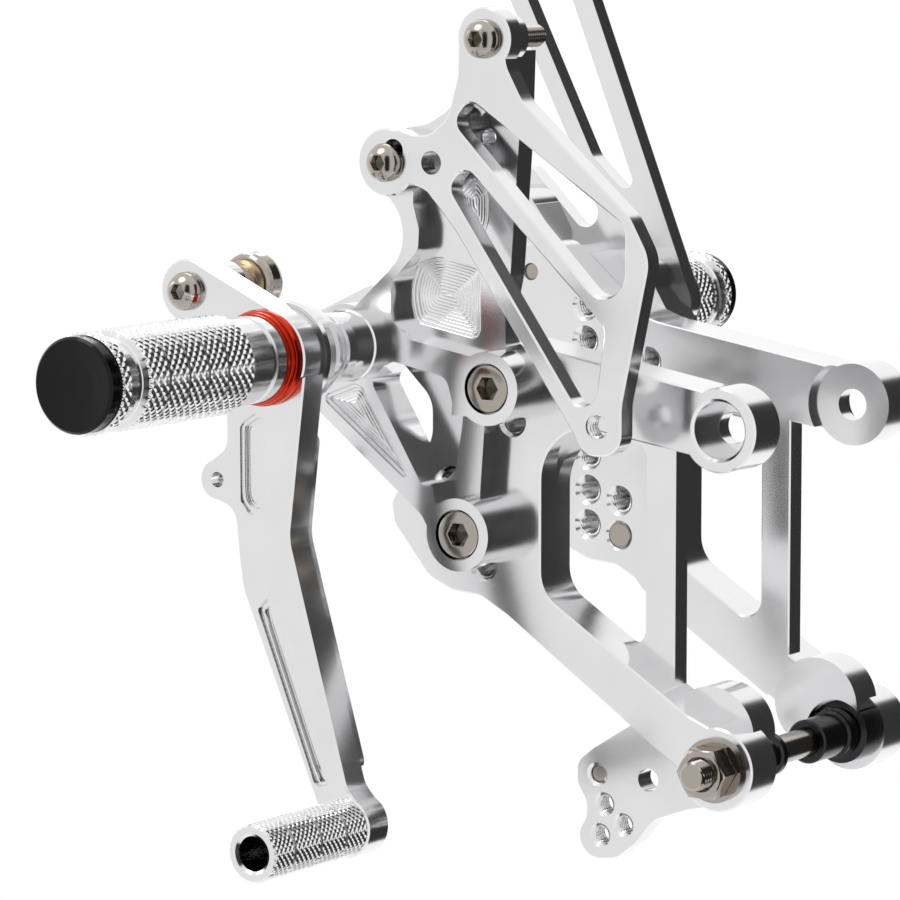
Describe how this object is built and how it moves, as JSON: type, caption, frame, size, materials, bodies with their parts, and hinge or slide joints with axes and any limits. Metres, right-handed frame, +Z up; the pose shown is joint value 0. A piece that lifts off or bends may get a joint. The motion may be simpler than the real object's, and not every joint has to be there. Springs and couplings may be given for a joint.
{
  "type": "motorcycle rear set footrests",
  "caption": "Pair of machined rear set footrests on a common axle, each with slotted base plate, peg plate, heel guard, knurled footpeg and pivoting foot lever.",
  "frame": {"origin": "on the axle line of the lower frame lugs, halfway between the two base plates", "axes": "+X towards the machine's rear, +Y across the machine towards its right side along the axle, +Z up"},
  "size_m": [0.2683, 0.3352, 0.2554],
  "materials": {
    "machined_alloy": "fine machined, bright anodised",
    "turned_alloy": "turned and knurled, bright anodised",
    "stainless": "polished stainless steel",
    "black_cap": "glossy black",
    "red_anodised": "red anodised aluminium",
    "black_anodised": "black anodised aluminium",
    "bronze": "plain bearing bronze"
  },
  "bodies": {
    "plates": {"axle_bolt": "stainless", "axle_nut": "stainless", "axle_washers": "stainless", "left_axle_collar": "black_anodised", "left_base_plate": "machined_alloy", "left_flange_plug": "stainless", "left_footpeg": "turned_alloy", "left_guard_bolts": "stainless", "left_heel_guard": "machined_alloy", "left_lever_bush": "bronze", "left_lobe_screw": "stainless", "left_peg_bolt": "stainless", "left_peg_cap": "black_cap", "left_peg_plate": "machined_alloy", "left_peg_ring": "red_anodised", "left_pivot_sleeve": "turned_alloy", "left_plate_bolts": "stainless", "right_axle_collar": "black_anodised", "right_base_plate": "machined_alloy", "right_footpeg": "turned_alloy", "right_guard_bolts": "stainless", "right_heel_guard": "machined_alloy", "right_lever_bush": "bronze", "right_lobe_screw": "stainless", "right_peg_bolt": "stainless", "right_peg_cap": "black_cap", "right_peg_plate": "machined_alloy", "right_peg_ring": "red_anodised", "right_pivot_sleeve": "turned_alloy", "right_plate_bolts": "stainless"},
    "left_lever_arm": {"left_lever": "machined_alloy", "left_toe_peg": "turned_alloy", "left_toe_peg_bolt": "stainless", "left_link_bolt": "stainless", "left_link_spacer": "turned_alloy", "left_link_bush": "bronze", "left_link_nut": "stainless"},
    "left_link_eye": {"left_link_ring": "stainless"},
    "right_lever_arm": {"right_lever": "machined_alloy", "right_toe_peg": "turned_alloy", "right_toe_peg_bolt": "stainless", "right_link_bolt": "stainless", "right_link_spacer": "turned_alloy", "right_link_bush": "bronze", "right_link_nut": "stainless"},
    "right_link_eye": {"right_link_ring": "stainless"}
  },
  "joints": [
    {"name": "left_lever_pivot", "type": "hinge", "parent": "plates", "child": "left_lever_arm", "pos_m": [-0.1104, -0.0895, 0.1085], "axis": [0, -1, 0], "range_deg": [-60, 60]},
    {"name": "left_eye_spin", "type": "hinge", "parent": "left_lever_arm", "child": "left_link_eye", "pos_m": [-0.13629, -0.0639, 0.125], "axis": [0, -1, 0], "continuous": true},
    {"name": "right_lever_pivot", "type": "hinge", "parent": "plates", "child": "right_lever_arm", "pos_m": [-0.1243, 0.0705, 0.106], "axis": [0, -1, 0], "range_deg": [-20, 20]},
    {"name": "right_eye_spin", "type": "hinge", "parent": "right_lever_arm", "child": "right_link_eye", "pos_m": [-0.12963, 0.0449, 0.07577], "axis": [0, -1, 0], "continuous": true}
  ]
}
